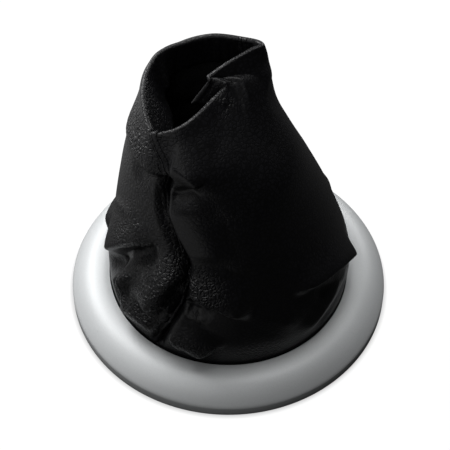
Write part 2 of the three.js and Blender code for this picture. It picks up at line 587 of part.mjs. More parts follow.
function carrierFrame() {
  const insideRadius = collarRadius - COLLAR_WALL;
  const flangeBottom = FLANGE_TOP - FRAME_WALL;
  const [wide, narrow] = FILLET_WIDTHS;
  let solid = toSolid(turnedRing([
    [insideRadius, COLLAR_FOOT], [collarRadius, COLLAR_FOOT], [collarRadius, flangeBottom],
    [flangeRadius, flangeBottom], [flangeRadius, FLANGE_TOP],
    [collarRadius + wide, FLANGE_TOP], [collarRadius + narrow, FLANGE_TOP + narrow], [collarRadius, FLANGE_TOP + wide],
    [collarRadius, COLLAR_TOP], [insideRadius, COLLAR_TOP],
  ]));
  for (const { x, y } of screwPlaces) {
    solid = solid.subtract(toSolid(cylinder(SCREW_RADIUS + GAP, flangeBottom - 1, FLANGE_TOP + 1, 12, x, y)));
  }
  for (const { angle } of aroundCircle(SNAP_COUNT, insideRadius, 0)) {
    const snap = new THREE.BoxGeometry(SNAP_DEPTH + COLLAR_WALL, SNAP_WIDTH, SNAP_HEIGHT);
    const middle = insideRadius + (COLLAR_WALL - SNAP_DEPTH) / 2 - SNAP_ROOT;
    snap.translate(middle, 0, COLLAR_FOOT + SNAP_RISE + SNAP_HEIGHT / 2);
    snap.rotateZ(radians(angle));
    solid = solid.add(toSolid(snap));
  }
  return toGeometry(solid);
}

function screw() {
  const shank = toSolid(cylinder(SCREW_RADIUS, -0.1, SCREW_LENGTH, 12));
  const head = toSolid(cylinder(HEAD_RADIUS, -HEAD_HEIGHT, 0, 18));
  const slotLong = toSolid(new THREE.BoxGeometry(SLOT_LENGTH, SLOT_WIDTH, SLOT_DEPTH * 2)
    .translate(0, 0, -HEAD_HEIGHT));
  const slotCross = toSolid(new THREE.BoxGeometry(SLOT_WIDTH, SLOT_LENGTH, SLOT_DEPTH * 2)
    .translate(0, 0, -HEAD_HEIGHT));
  return toGeometry(head.add(shank).subtract(slotLong).subtract(slotCross));
}

const gaiter = new THREE.Group();

function addPiece(name, geometry, material) {
  const mesh = new THREE.Mesh(geometry, material);
  mesh.name = name;
  gaiter.add(mesh);
  return mesh;
}

const lap = (seam) => seam.map(([level, angle]) => [level, angle + 360]);
addPiece('front_right_panel', thickSheet(panelColumns(FRONT_SEAM, BACK_SEAM, columnShares(...PLEAT_SHARES))), leather);
addPiece('rear_left_panel', thickSheet(panelColumns(BACK_SEAM, lap(FRONT_SEAM), columnShares())), leather);
addPiece('trim_ring', trimRing(), silverPaint);
addPiece('carrier_frame', carrierFrame(), blackPlastic);
screwPlaces.forEach(({ x, y }, k) => {
  addPiece(`frame_screw_${k + 1}`, screw(), zincSteel).position.set(x, y, FLANGE_TOP - FRAME_WALL - GAP);
});

export default gaiter;
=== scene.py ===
import math
import bpy
import numpy as np
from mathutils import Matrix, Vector


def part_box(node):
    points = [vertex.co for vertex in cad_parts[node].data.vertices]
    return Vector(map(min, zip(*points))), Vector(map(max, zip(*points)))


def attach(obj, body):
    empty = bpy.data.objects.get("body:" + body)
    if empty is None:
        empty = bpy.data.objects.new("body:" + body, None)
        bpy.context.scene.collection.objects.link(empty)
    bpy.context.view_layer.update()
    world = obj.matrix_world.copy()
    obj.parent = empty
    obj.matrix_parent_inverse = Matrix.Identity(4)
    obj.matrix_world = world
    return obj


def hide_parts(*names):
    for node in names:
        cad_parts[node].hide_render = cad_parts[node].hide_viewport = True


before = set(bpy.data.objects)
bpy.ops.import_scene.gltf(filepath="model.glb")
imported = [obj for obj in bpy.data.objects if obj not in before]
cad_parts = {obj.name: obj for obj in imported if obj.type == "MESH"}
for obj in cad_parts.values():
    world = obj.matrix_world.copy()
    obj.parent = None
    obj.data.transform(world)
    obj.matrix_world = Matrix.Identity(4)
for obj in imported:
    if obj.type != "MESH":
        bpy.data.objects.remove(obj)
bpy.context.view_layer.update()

MM = 0.001

# Sizes read from the trim ring in model.glb
RING_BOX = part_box("trim_ring")
BEZEL_RADIUS = RING_BOX[1][0] / MM
CROWN_HEIGHT = RING_BOX[1][2] / MM

# Bezel
SKIRT_HEIGHT = 4.8
BEZEL_WALL = 2.0
CROWN_RADIUS = 56.4
MOUTH_RADIUS = 52.8
LIP_THICKNESS = 1.9
LIP_BOTTOM = 6.85
LIP_FALL = 0.5
LIP_ROUND = 0.45
LIP_CHAMFER = 0.8
SLOPE_POWER = 2.6
# Along the crown, from 0 at its skirt to 1 at its mouth: where the slope ends at the top, and where the edge begins
SLOPE_END = 0.7
EDGE_START = 0.85
SKIRT_ROUND = 0.4
FOOT_ROUND = 0.35
BOSS_COUNT = 6
BOSS_CIRCLE = 63.4
BOSS_RADIUS = 2.7
BOSS_BOTTOM = 5.45
BOSS_BORE = 1.4
BOSS_ROOT = 1.2

# Leather
LEATHER = 1.1
HALF_LEATHER = LEATHER / 2
FOOT_RADIUS = 52.1
FOOT_LEVEL = 11.0
TAIL_HEIGHT = 6.0
TAIL_BEND = 2.0
TAIL_WIDTH = 8.4
SEAM_GAP = 0.3
SEAM_ALLOWANCE = 5.0
SEAM_CORNER = 1.3
# An allowance narrows to its turned-in form this many times as fast as it turns, and its bend keeps to the
# leather's own face down to this depth
EARLY_TURN = 4
FACE_DEPTH = 0.6
ALLOWANCE_FROM = 0.5
ALLOWANCE_START = 3.5
ALLOWANCE_END = 30.0
HEM_WIDTH = 13.0
PLY_GAP = 0.3
TURN_RADIUS = LEATHER + PLY_GAP / 2
RIM_LEVEL = 114.0
NECK_LEVEL = 100.0

# The boot's cross-sections under its neck: level, height, middle x and y, half width, half depth and turn
SECTIONS = [
    (0, FOOT_LEVEL, 0, 0, FOOT_RADIUS, FOOT_RADIUS, 0),
    (14, 25, 0, 0, FOOT_RADIUS + 1.1, FOOT_RADIUS + 0.9, 0),
    (37, 48, -1.2, 0, 48.2, 48, 0),
    (65, 76, -4.7, 0.5, 40.3, 39.5, 0),
    (86, 96, -7.5, 1, 33.8, 31.5, 10),
]

# The neck and the rim of the mouth, each a closed curve through points: angle, x, y, z
NECK = [
    (230, -31, -21, 104), (258, -17, -27, 106), (290, -4, -21, 108), (320, 6, -9, 110), (345, 12, 0, 112),
    (370, 15.5, 8, 113), (400, 17, 18, 114), (432, 8.5, 30, 115), (455, -6, 34, 115), (490, -24, 31, 113),
    (520, -34, 20, 111), (545, -37, 4, 109), (570, -36, -11, 106),
]
RIM = [
    (230, -28.6, -14.4, 116.9), (245, -24.5, -14.5, 117.3), (257, -20.6, -13.7, 118.2), (270, -16.8, -11.5, 119.2),
    (284, -12.8, -7.8, 120.1), (300, -8.2, -2.3, 120.5), (310, -4.9, 1.7, 121), (317, -2.1, 4.5, 121.4),
    (320.5, -1.2, 5.7, 121.6), (324, -2.4, 6.4, 122.1), (328, -4.9, 6.8, 122.6), (332, -7.4, 6.6, 123),
    (336, -8.9, 6.6, 123.3), (339, -8.7, 7.1, 124.1), (344, -7, 8.2, 125.3), (352, -4.2, 10.3, 126.6),
    (360, -1.5, 12.3, 127.7), (375, 3.2, 15.3, 128.8), (391, 8.3, 18.5, 129.4), (404, 12.4, 20.3, 129.5),
    (414, 11.6, 22.4, 128.6), (432, 5, 24.4, 127.8), (455, -6.6, 26.6, 127.3), (470, -13.4, 26.1, 125.8),
    (484, -18.5, 24.8, 124.8), (497, -24.1, 23.2, 124), (507, -28, 20.9, 123), (520, -30.3, 16.4, 122.2),
    (535, -32.3, 10.4, 121.3), (552, -33, 2.7, 120.3), (568, -32.2, -3.9, 119), (580, -30.9, -8.8, 117.9),
]
# A roll of slack leather lies round the collar's right-hand side, with a crease above it. At 320 the roll runs out
# into the rim, which turns back there to where the crease meets it, at 336.
ROLL_LEVEL = 105.0
ROLL = [
    (230, -30.4, -18.4, 108.5), (258, -18.2, -22.4, 110.3), (284, -7.8, -17.2, 112), (300, -3.1, -11.2, 113),
    (310, 0, -7.8, 113.5), (317, 2.3, -4.6, 114.2), (320.5, 3.4, -2.4, 115.1), (324, 4.4, 0.6, 116.5),
    (328, 4.9, 3.5, 118.8), (332, 4.8, 6, 120.9), (336, 4.9, 7.2, 122.2), (340, 5.8, 8, 122),
    (346, 7.6, 9.1, 121.4), (352, 9.4, 10, 120.6), (360, 11.4, 11.2, 119.7), (375, 15, 13.4, 118.6),
    (391, 16.4, 17, 118), (404, 15.8, 20.7, 118.3), (414, 14.2, 23.8, 118.8), (432, 7.8, 29.2, 119.4),
    (455, -6, 32, 119.6), (490, -22.8, 28.6, 117.3), (520, -32.8, 18.8, 115.1), (545, -35.6, 5.3, 113.2),
    (570, -34.6, -8.7, 110.6),
]
CREASE_LEVEL = 109.0
CREASE = [
    (230, -30, -16.2, 112), (258, -19.2, -18.2, 113.8), (284, -10, -12.8, 115.4), (300, -5.6, -6.9, 116.3),
    (310, -2.7, -3.2, 116.9), (317, -0.4, 0.6, 118.1), (320.5, 0.7, 2.9, 119.2), (324, 1.1, 5.2, 120.4),
    (328, 0.2, 6.6, 121.9), (332, -2.2, 7.2, 122), (336, -4.4, 7.6, 122.2), (340, -4, 8.2, 122.5),
    (346, -1.4, 8.9, 123), (352, 1.2, 9.8, 123.2), (360, 4.4, 11.2, 123.3), (375, 9, 13.9, 123.2),
    (391, 12.4, 16.9, 123.4), (404, 14.6, 19.7, 123.4), (414, 13.6, 22.8, 123.4), (432, 6.9, 27.8, 123.6),
    (455, -6.2, 30.2, 123.6), (490, -21.6, 27.2, 121), (520, -32, 17.8, 118.6), (545, -34.4, 6, 116.8),
    (570, -33.2, -6.8, 114.2),
]
# How far the turned-in hem leans into the mouth from the wall, in degrees by angle, where a plumb hem would lean less
HEM_LEAN = [(230, 2), (404, 2), (414, 16), (428, 42), (465, 46), (500, 36), (530, 50), (590, 56)]
# Where the collar doubles back behind its front, its hem stands out like a tongue: how it runs up and faces away
TONGUE_UP = np.array([0.55, 0.1, 0.83])
TONGUE_AWAY = np.array([-0.1, 1.0, -0.05])
# Where the tongue starts and ends, and over how many degrees it comes and goes
TONGUE_START, TONGUE_END = 319, 343
TONGUE_COMES, TONGUE_GOES = 5, 6
# The share of its width that the hem has, by angle
HEM_SHARE = [
    (230, 1), (300, 1), (313, 0.8), (320, 0.9), (336, 1), (341, 0.6), (348, 0.25), (416, 0.3), (426, 0.9), (500, 1),
    (540, 1.25), (590, 1.25),
]
# Gathers of the hem at the back: where they start and end, how they fade in, their depth, and their spacing, all
# in degrees but the depth
GATHERS = [(396, 466, 12, 0.45, 8), (484, 506, 6, 1.3, 20)]
# How far, in radians, and how fast, in radians a degree, the gathers' spacing wanders
GATHER_WANDER = 2.2
GATHER_RATE = 0.17

# The two seams: level and angle
FRONT_SEAM = [
    (0, 233), (12, 238), (26, 244), (40, 249), (54, 252), (66, 246), (76, 239), (85, 238), (93, 242), (99, 245),
    (104, 243), (109, 237), (114, 229),
]
BACK_SEAM = [(0, 412), (40, 418), (80, 425), (100, 430), (114, 432)]


def fold(run, width, out, drop=0.0, under=1.0, ends=0.25, crisp=0.0):
    """A fold of the slack leather, along a run of points (angle, level), as wide as width to each side and standing
    out by out, or into the surface below zero. drop lets it hang over. under is the share of the width on the
    right-hand side of its run. ends is the share of its length that each end takes to fade. crisp sharpens it."""
    return dict(run=run, width=width, out=out, drop=drop, under=under, ends=ends, crisp=crisp)


FOLDS = [
    # Left panel, from the collar down to the bezel
    fold([(172, 92), (190, 96), (210, 100), (232, 102), (250, 102)], 13, 2.4, under=0.7, crisp=0.6),
    fold([(205, 84), (222, 88), (238, 93), (250, 96)], 8, -1.6),
    fold([(180, 19), (190, 27), (203, 41), (216, 51), (227, 57), (235, 65)], 16, 3.6, drop=2, under=0.28,
         crisp=0.25),
    fold([(180, 7), (188, 14), (198, 24), (207, 34), (217, 44), (228, 52), (240, 58)], 8, -7),
    fold([(180, 50), (190, 55), (200, 60), (209, 63), (220, 62), (232, 65)], 3.5, 1.1, crisp=0.2, under=1.4),
    fold([(192, 28), (200, 24), (204, 18), (208, 10), (212, 3)], 5, -2.6),
    fold([(210, 13), (206, 19), (205, 26), (208, 34), (215, 41)], 6, 2.6, crisp=0.2),
    fold([(216, 14), (213, 24), (218, 34), (226, 42)], 4, -1.8, crisp=0.5),
    fold([(231, 19), (234, 29), (238, 38), (244, 46), (252, 54)], 15, 6.6, under=0.28, crisp=0.22),
    fold([(251, 49), (247, 42), (243, 34), (240, 26)], 5, -4),
    fold([(208, 8), (217, 12), (227, 15), (238, 13)], 8, 2.6, crisp=0.3),
    fold([(224, 22), (231, 24), (240, 27)], 4, -2.4),
    # Along the seam
    fold([(245, 101), (243, 94), (239, 86), (238, 76), (243, 68), (249, 60), (252, 54), (250, 46), (249, 36)],
         3.6, -3.4, under=1.5, ends=0.12),
    fold([(249, 38), (245, 30), (241, 20), (236, 8), (233, 0)], 4, -3.5, ends=0.12),
    # Right panel, from the seam to the right-hand side
    fold([(247, 103), (254, 101), (260, 98), (266, 92)], 8, 1.8, under=0.7, crisp=0.2, ends=0.15),
    fold([(243, 84), (250, 86), (258, 89), (265, 91)], 5, -1.5, crisp=0.3),
    fold([(248, 84), (254, 76), (260, 67), (265, 54)], 13, 2.0, under=1.2),
    fold([(246, 42), (253, 44), (260, 43), (267, 40), (275, 36), (284, 32)], 16, 5.8, drop=1.5, under=0.32,
         ends=0.32, crisp=0.35),
    fold([(246, 34), (251, 34), (257, 33), (263, 30)], 6, -4.4, ends=0.4),
    fold([(241, 14), (249, 17), (256, 15), (263, 9)], 12, 5.2, crisp=0.35),
    fold([(268, 38), (280, 33), (293, 26), (306, 17)], 13, 0.9, under=0.6, crisp=0.1),
    fold([(300, 36), (312, 36), (323, 34), (334, 31), (346, 25), (359, 15)], 12, 5.2, under=0.4, crisp=0.15),
    fold([(314, 27), (328, 23), (342, 16)], 6, -1.4, crisp=0.3),
    fold([(304, 9), (314, 14), (324, 18), (334, 19), (344, 17)], 8, 1.3, under=0.7, crisp=0.1),
    fold([(312, 4), (324, 9), (337, 11), (350, 12)], 5.5, -1.2),
    # Back
    fold([(60, 30), (85, 38), (110, 36), (136, 27)], 12, 4.5, drop=2, under=0.5, crisp=0.4),
    fold([(72, 17), (96, 23), (122, 20)], 8, -3.5),
    fold([(92, 60), (118, 66), (148, 58), (166, 56)], 13, 3.5, drop=1.5, under=0.5, crisp=0.4),
    fold([(62, 78), (84, 84), (112, 80)], 10, 2.5, crisp=0.5),
    fold([(138, 13), (156, 19), (174, 17)], 9, 3.5, crisp=0.4),
    fold([(136, 44), (158, 48), (176, 40)], 9, -3.5),
    fold([(24, 22), (46, 30), (66, 24)], 10, 2.5, under=0.5, crisp=0.4),
    fold([(30, 10), (48, 15), (66, 11)], 7, -2.5),
    fold([(70, 92), (100, 99), (130, 94), (152, 98)], 9, -2.5),
]


def crimp(run, width, spacing, depth, grain):
    """A zone of fine wrinkles that follow a run of points (angle, level): how far it reaches to each side, how far
    apart the wrinkles are, how deep, and how much coarser the grain is there."""
    return dict(run=run, width=width, spacing=spacing, depth=depth, under=1.0, ends=0.35, crisp=0.0, grain=grain)


CRIMPS = [
    crimp([(172, 38), (185, 44), (200, 51), (214, 56), (229, 60)], 12, 2.6, 0.3, grain=0.8),
    crimp([(160, 98), (180, 99), (200, 100), (218, 101), (228, 102), (238, 101)], 12, 2.5, 0.2, grain=1.0),
    crimp([(206, 8), (218, 20), (227, 34), (238, 46), (248, 53)], 14, 2.3, 0.32, grain=1.0),
    crimp([(206, 6), (216, 10), (228, 14), (240, 13)], 10, 2.1, 0.3, grain=1.0),
    crimp([(234, 56), (244, 52), (254, 48), (263, 44), (272, 39)], 11, 2.3, 0.3, grain=1.0),
    crimp([(240, 12), (250, 12), (259, 10), (266, 6)], 10, 2.2, 0.22, grain=1.0),
    crimp([(256, 80), (268, 77), (282, 76), (298, 78)], 5, 2.3, 0.13, grain=0.1),
    crimp([(266, 57), (284, 56), (304, 52), (326, 44), (342, 34)], 8, 3.1, 0.16, grain=0.1),
    crimp([(270, 12), (284, 9), (300, 5)], 8, 2.4, 0.14, grain=0.2),
    crimp([(40, 34), (80, 42), (120, 40), (160, 40)], 14, 2.8, 0.25, grain=0.4),
    crimp([(80, 66), (110, 70), (146, 62)], 9, 2.6, 0.2, grain=0.4),
]
# How coarse the grain is away from those zones, on the right panel and on the left, on the hem, and at the most
PLAIN_GRAIN = (0.09, 0.3)
HEM_GRAIN = 0.2
MOST_GRAIN = 1.1
# The powers that give a zone of coarse grain its soft edge, a crisp fold its flanks and a wrinkle its rounded
# ridge, and the height of a ridge that its valleys are measured from
GRAIN_POWER = 0.7
CRISP_POWER = 1.6
RIDGE_POWER = 0.7
RIDGE_MEAN = 0.6

# Folds fade out over this length above the bezel
FOLD_FADE = 6.5
# The upright line that widths round the boot are measured from
BOOT_AXIS_X = -3.0

# Fineness: columns of each panel and of its turned-in edges, rows of the boot, its tail, its rim and its hem
PANEL_COLUMNS = 200
EDGE_STEPS = 6
# Columns of a panel that each of its turned-in edges takes the place of
SEAM_CLEAR = 3
BOOT_ROWS = 186
TAIL_ROWS = 6
BEND_ROWS = 7
RIM_ROWS = 9
HEM_ROWS = 14
# Rows below the rim over which its upward direction is taken
RISE_ROWS = 5
# Fineness of the bezel: steps round it, along its crown, under its crown and round each boss
RING_STEPS = 256
CROWN_STEPS = 41
INSIDE_STEPS = 15
BOSS_STEPS = 24
# The small step, in degrees and in millimetres, that slopes are measured over
SLOPE_STEP = 0.4


def smooth(x):
    """Smooth step from 0 to 1."""
    x = np.clip(x, 0.0, 1.0)
    return x * x * (3.0 - 2.0 * x)


def hermite(a, slope_a, b, slope_b, t, step):
    """Cubic from a to b with the slopes given, where t runs from 0 to 1 over the length step."""
    t2, t3 = t * t, t * t * t
    ends = (2 * t3 - 3 * t2 + 1) * a + (3 * t2 - 2 * t3) * b
    return ends + step * ((t3 - 2 * t2 + t) * slope_a + (t3 - t2) * slope_b)


def middle_slopes(values, places):
    """Slope at each inner one of the values, weighted by its distances to its neighbours along places."""
    gap = np.diff(places).reshape(-1, *([1] * (values.ndim - 1)))
    slopes = np.diff(values, axis=0) / gap
    return (gap[1:] * slopes[:-1] + gap[:-1] * slopes[1:]) / (gap[1:] + gap[:-1])


def closed_curve(points):
    """A closed smooth curve through points (angle, x, y, z), as a function of the angle: a cubic from each point to
    the next, with the weighted mean of the neighbouring slopes at each."""
    table = np.array(points, float)
    angles = np.concatenate([table[:, 0] - 360, table[:, 0], table[:, 0] + 360])
    places = np.tile(table[:, 1:], (3, 1))
    slopes = np.zeros_like(places)
    slopes[1:-1] = middle_slopes(places, angles)

    def at(angle):
        turned = (angle - table[0, 0]) % 360 + table[0, 0]
        k = np.searchsorted(angles, turned, side="right") - 1
        step = angles[k + 1] - angles[k]
        t = ((turned - angles[k]) / step)[..., None]
        return hermite(places[k], slopes[k], places[k + 1], slopes[k + 1], t, step[..., None])

    return at


def ellipse(z, x, y, wide, deep, turn):
    """A level ellipse about (x, y) at the height z, its long axis turned by turn, as a function of the angle."""
    c, s = math.cos(math.radians(turn)), math.sin(math.radians(turn))

    def at(angle):
        a = np.radians(angle - turn)
        across, along = wide * np.cos(a), deep * np.sin(a)
        return np.stack([x + across * c - along * s, y + across * s + along * c, np.full_like(a, z)], -1)

    return at


SECTION_CURVES = [
    *[ellipse(*section[1:]) for section in SECTIONS],
    closed_curve(NECK), closed_curve(ROLL), closed_curve(CREASE), closed_curve(RIM),
]
SECTION_LEVELS = np.array([
    *[section[0] for section in SECTIONS], NECK_LEVEL, ROLL_LEVEL, CREASE_LEVEL, RIM_LEVEL,
])


def skin(angle, level):
    """The boot without its folds: at each angle, a smooth cubic upwards through the sections, the neck, the roll,
    the crease and the rim."""
    points = np.stack([curve(angle) for curve in SECTION_CURVES])
    slopes = np.zeros_like(points)
    slopes[1:-1] = middle_slopes(points, SECTION_LEVELS)
    steps = np.diff(SECTION_LEVELS)
    slopes[0] = (points[1] - points[0]) / steps[0]
    slopes[-1] = (points[-1] - points[-2]) / steps[-1]
    k = np.clip(np.searchsorted(SECTION_LEVELS, level, side="right") - 1, 0, len(steps) - 1)
    place = tuple(np.indices(level.shape))
    below, above = (k, *place), (k + 1, *place)
    step = steps[k][..., None]
    t = (level - SECTION_LEVELS[k])[..., None] / step
    return hermite(points[below], slopes[below], points[above], slopes[above], t, step)


def unit(v):
    """The vectors at length one."""
    return v / (np.linalg.norm(v, axis=-1, keepdims=True) + 1e-12)


def outward(angle, level):
    """Outward direction across the boot without its folds, from small steps round and up it."""
    round_step = skin(angle + SLOPE_STEP, level) - skin(angle - SLOPE_STEP, level)
    above = skin(angle, np.minimum(level + SLOPE_STEP, RIM_LEVEL))
    below = skin(angle, np.maximum(level - SLOPE_STEP, 0.0))
    return unit(np.cross(round_step, above - below))


def fine_run(points, steps=6):
    """A smooth line through the points (angle, level), as a spline that passes through each."""
    p = np.array(points, float)
    p = np.vstack([2 * p[0] - p[1], p, 2 * p[-1] - p[-2]])
    t = np.linspace(0, 1, steps, endpoint=False)[:, None]
    parts = []
    for a, b, c, d in zip(p[:-3], p[1:-2], p[2:-1], p[3:]):
        square, cube = 2 * a - 5 * b + 4 * c - d, 3 * b - a - 3 * c + d
        parts.append(0.5 * (2 * b + (c - a) * t + square * t**2 + cube * t**3))
    return np.vstack(parts + [p[-2]])


def beside_run(form, angle, level, radius):
    """Where each place lies beside a fold's run: its distance from it, the share of the run's length that is behind
    it, the length itself, and which side it lies on, from -1 on the right to 1 on the left."""
    run = fine_run(form["run"])
    step = np.diff(run, axis=0)
    lengths = np.concatenate([[0], np.cumsum(np.hypot(np.radians(step[:, 0]) * FOOT_RADIUS, step[:, 1]))])
    nearest = np.full(angle.shape, 1e9)
    along = np.zeros(angle.shape)
    side = np.zeros(angle.shape)
    for k, (turn, rise) in enumerate(step):
        x = np.radians((angle - run[k, 0] + 180) % 360 - 180) * radius
        y = level - run[k, 1]
        dx = np.radians(turn) * radius
        t = np.clip((x * dx + y * rise) / (dx * dx + rise * rise), 0, 1)
        distance = np.hypot(x - t * dx, y - t * rise)
        closer = distance < nearest
        nearest = np.where(closer, distance, nearest)
        along = np.where(closer, lengths[k] + t * (lengths[k + 1] - lengths[k]), along)
        side = np.where(closer, (dx * y - rise * x) / (np.hypot(dx, rise) * distance + 1e-9), side)
    return nearest, along / lengths[-1], lengths[-1], side


def fold_share(form, beside):
    """How much of a fold there is: 1 on its run, and the square of one less the square of the distance over its
    width to each side, or a power of one less a hyperbola's rise where it is crisp. It fades to 0 at both ends."""
    nearest, place, _, side = beside
    reach = form["width"] * (form["under"] + (1 - form["under"]) * (1 + side) / 2)
    share = np.minimum(1, nearest / reach)
    bump = (1 - share**2) ** 2
    if form["crisp"]:
        edge = form["crisp"]
        bent = (np.hypot(share, edge) - edge) / (math.hypot(1, edge) - edge)
        bump = (1 - bent) ** CRISP_POWER
    return bump * smooth(place / form["ends"]) * smooth((1 - place) / form["ends"])


def wrinkle_rise(form, beside, share):
    """How far the fine wrinkles of a zone stand out: the sine of the distance across their run, made rounded ridges
    between narrow valleys. Three slow waves make them wander by a millimetre or so, and a fourth makes them deeper
    in some patches than in others."""
    nearest, place, length, side = beside
    along = place * length
    wander = 1.1 * np.sin(along / 3.1) + 0.8 * np.sin(along / 1.7 + nearest) + 0.6 * np.sin(nearest / 1.3)
    across = nearest * np.sign(side) + wander
    ridge = np.abs(np.sin(math.pi * across / form["spacing"])) ** RIDGE_POWER - RIDGE_MEAN
    patchy = 0.6 + 0.4 * np.sin(along / 4.3 + nearest / 2.9)
    return share * patchy * ridge * form["depth"]


def folded(angle, level):
    """The boot's outer face: the skin, moved outwards and down by each fold's share, then outwards by the rise of
    the fine wrinkles."""
    point = skin(angle, level)
    out = outward(angle, level)
    radius = np.hypot(point[..., 0] - BOOT_AXIS_X, point[..., 1])
    fade = smooth(level / FOLD_FADE)
    for form in FOLDS:
        share = (fold_share(form, beside_run(form, angle, level, radius)) * fade)[..., None]
        point = point + share * form["out"] * out - share * np.array([0.0, 0.0, form["drop"]])
    for form in CRIMPS:
        beside = beside_run(form, angle, level, radius)
        share = fold_share(form, beside) * fade
        point = point + wrinkle_rise(form, beside, share)[..., None] * out
    return point


def coarse_grain(angle, level, plain):
    """How coarse the leather's grain is: its plain value, and more in the wrinkled zones."""
    point = skin(angle, level)
    radius = np.hypot(point[..., 0] - BOOT_AXIS_X, point[..., 1])
    grain = np.full(angle.shape, plain)
    for form in CRIMPS:
        grain += form["grain"] * fold_share(form, beside_run(form, angle, level, radius)) ** GRAIN_POWER
    return np.minimum(grain, MOST_GRAIN)


def seam_angle(seam, level):
    """A seam's angle at each level, on the line through its points."""
    table = np.array(seam, float)
    return np.interp(level, table[:, 0], table[:, 1])


def panel_places(start, end, plain_grain):
    """One panel from seam to seam, rows by columns: middle points of the leather and its outward directions, those
    of the skin without its folds, the share by which its seam allowances are turned in, and its grain."""
    level = np.linspace(0, RIM_LEVEL - TURN_RADIUS, BOOT_ROWS)
    start_angle = seam_angle(start, level)[:, None]
    end_angle = seam_angle(end, level)[:, None]
    angle = start_angle + (end_angle - start_angle) * np.linspace(0, 1, PANEL_COLUMNS + 1)
    levels = np.repeat(level[:, None], angle.shape[1], 1)
    face = folded(angle, levels)
    out = unit(np.cross(np.gradient(face, axis=1), np.gradient(face, axis=0)))
    steady = outward(angle, levels)
    under_crest = smooth((levels - NECK_LEVEL) / (RIM_LEVEL - NECK_LEVEL))[..., None]
    middle = face + (TURN_RADIUS * under_crest - HALF_LEATHER) * out
    turned = smooth((level - ALLOWANCE_FROM) / ALLOWANCE_START)
    turned = turned * smooth((RIM_LEVEL - HEM_WIDTH - level) / (ALLOWANCE_END - HEM_WIDTH))
    tail, tail_out = tail_places(angle[0])
    hem, hem_out = hem_places(middle, out, angle[-1])
    grain = coarse_grain(angle, levels, plain_grain)
    grain = np.concatenate([grain[[0] * len(tail)], grain, np.full((len(hem), grain.shape[1]), HEM_GRAIN)])
    return (
        np.concatenate([tail, middle, hem]), np.concatenate([tail_out, out, hem_out]),
        np.concatenate([tail_out, steady, hem_out]),
        np.concatenate([np.zeros(len(tail)), turned, np.zeros(len(hem))]), grain,
    )


def tail_places(angle):
    """The clamped tail under the boot, at each angle of the foot: a flat ring, then a quarter bend up to the wall."""
    a = np.radians(angle)
    flat = np.stack([np.cos(a), np.sin(a), np.zeros_like(a)], -1)
    up = np.array([0.0, 0.0, 1.0])
    bend_radius = FOOT_RADIUS - HALF_LEATHER + TAIL_BEND
    points, outs = [], []
    for radius in np.linspace(bend_radius + TAIL_WIDTH - TAIL_BEND, bend_radius, TAIL_ROWS, endpoint=False):
        points.append(flat * radius + up * TAIL_HEIGHT)
        outs.append(np.broadcast_to(up, flat.shape))
    for tilt in np.linspace(math.pi / 2, 0, BEND_ROWS):
        radius = bend_radius - TAIL_BEND * math.cos(tilt)
        height = TAIL_HEIGHT + TAIL_BEND * (1 - math.sin(tilt))
        points.append(flat * radius + up * height)
        outs.append(flat * math.cos(tilt) + up * math.sin(tilt))
    return np.stack(points), np.stack(outs)


def hem_places(middle, out, angle):
    """The rim and the hem above the boot: the leather turns over a small bend to its inner side, and the hem then
    hangs there, leaning in from the wall by its lean."""
    rim = middle[-1]
    up = unit(rim - middle[-1 - RISE_ROWS])
    away = unit(out[-1] - up * (out[-1] * up).sum(-1, keepdims=True))
    back = (smooth((angle - TONGUE_START) / TONGUE_COMES) * smooth((TONGUE_END - angle) / TONGUE_GOES))[:, None]
    up = unit(up * (1 - back) + back * TONGUE_UP)
    away = away * (1 - back) + back * TONGUE_AWAY
    away = unit(away - up * (away * up).sum(-1, keepdims=True))
    plumb = np.arctan2(away[:, 2], up[:, 2])
    lean = np.maximum(plumb, np.radians(np.interp(angle, *np.array(HEM_LEAN, float).T)))
    width = HEM_WIDTH * np.interp(angle, *np.array(HEM_SHARE, float).T)[:, None]
    bend = HALF_LEATHER + PLY_GAP / 2
    full = (math.pi - lean)[:, None]
    points, outs = [], []
    for share in np.linspace(0, 1, RIM_ROWS)[1:]:
        turn = share * full
        points.append(rim - away * bend * (1 - np.cos(turn)) + up * bend * np.sin(turn))
        outs.append(away * np.cos(turn) + up * np.sin(turn))
    run = up * np.cos(full) - away * np.sin(full)
    gather = np.zeros_like(angle)
    for first, last, fade, depth, spacing in GATHERS:
        within = smooth((angle - first) / fade) * smooth((last - angle) / fade)
        uneven = GATHER_WANDER * np.sin(angle * GATHER_RATE)
        gather += depth * within * np.sin(2 * math.pi * (angle - first) / spacing + uneven)
    for share in np.linspace(0, 1, HEM_ROWS)[1:]:
        ripple = (gather * share)[:, None] * outs[RIM_ROWS - 2]
        points.append(points[RIM_ROWS - 2] + run * width * share + ripple)
        outs.append(outs[RIM_ROWS - 2])
    return np.stack(points), np.stack(outs)


def seam_profile():
    """A panel's edge at a seam: distances from the seam and depths, for an allowance that is turned in, and the
    distances for one that lies flat. The turned-in edge goes up straight and bends round a quarter circle."""
    edge = SEAM_GAP / 2
    turn = np.linspace(0, math.pi / 2, EDGE_STEPS)
    straight = np.linspace(SEAM_ALLOWANCE, SEAM_CORNER, EDGE_STEPS, endpoint=False)
    bend = edge + HALF_LEATHER + SEAM_CORNER * (1 - np.cos(turn))
    distance = np.concatenate([np.full(EDGE_STEPS, edge + HALF_LEATHER), bend])
    depth = np.concatenate([straight, SEAM_CORNER * (1 - np.sin(turn))])
    return distance, depth, np.linspace(edge, distance[-1], len(distance))


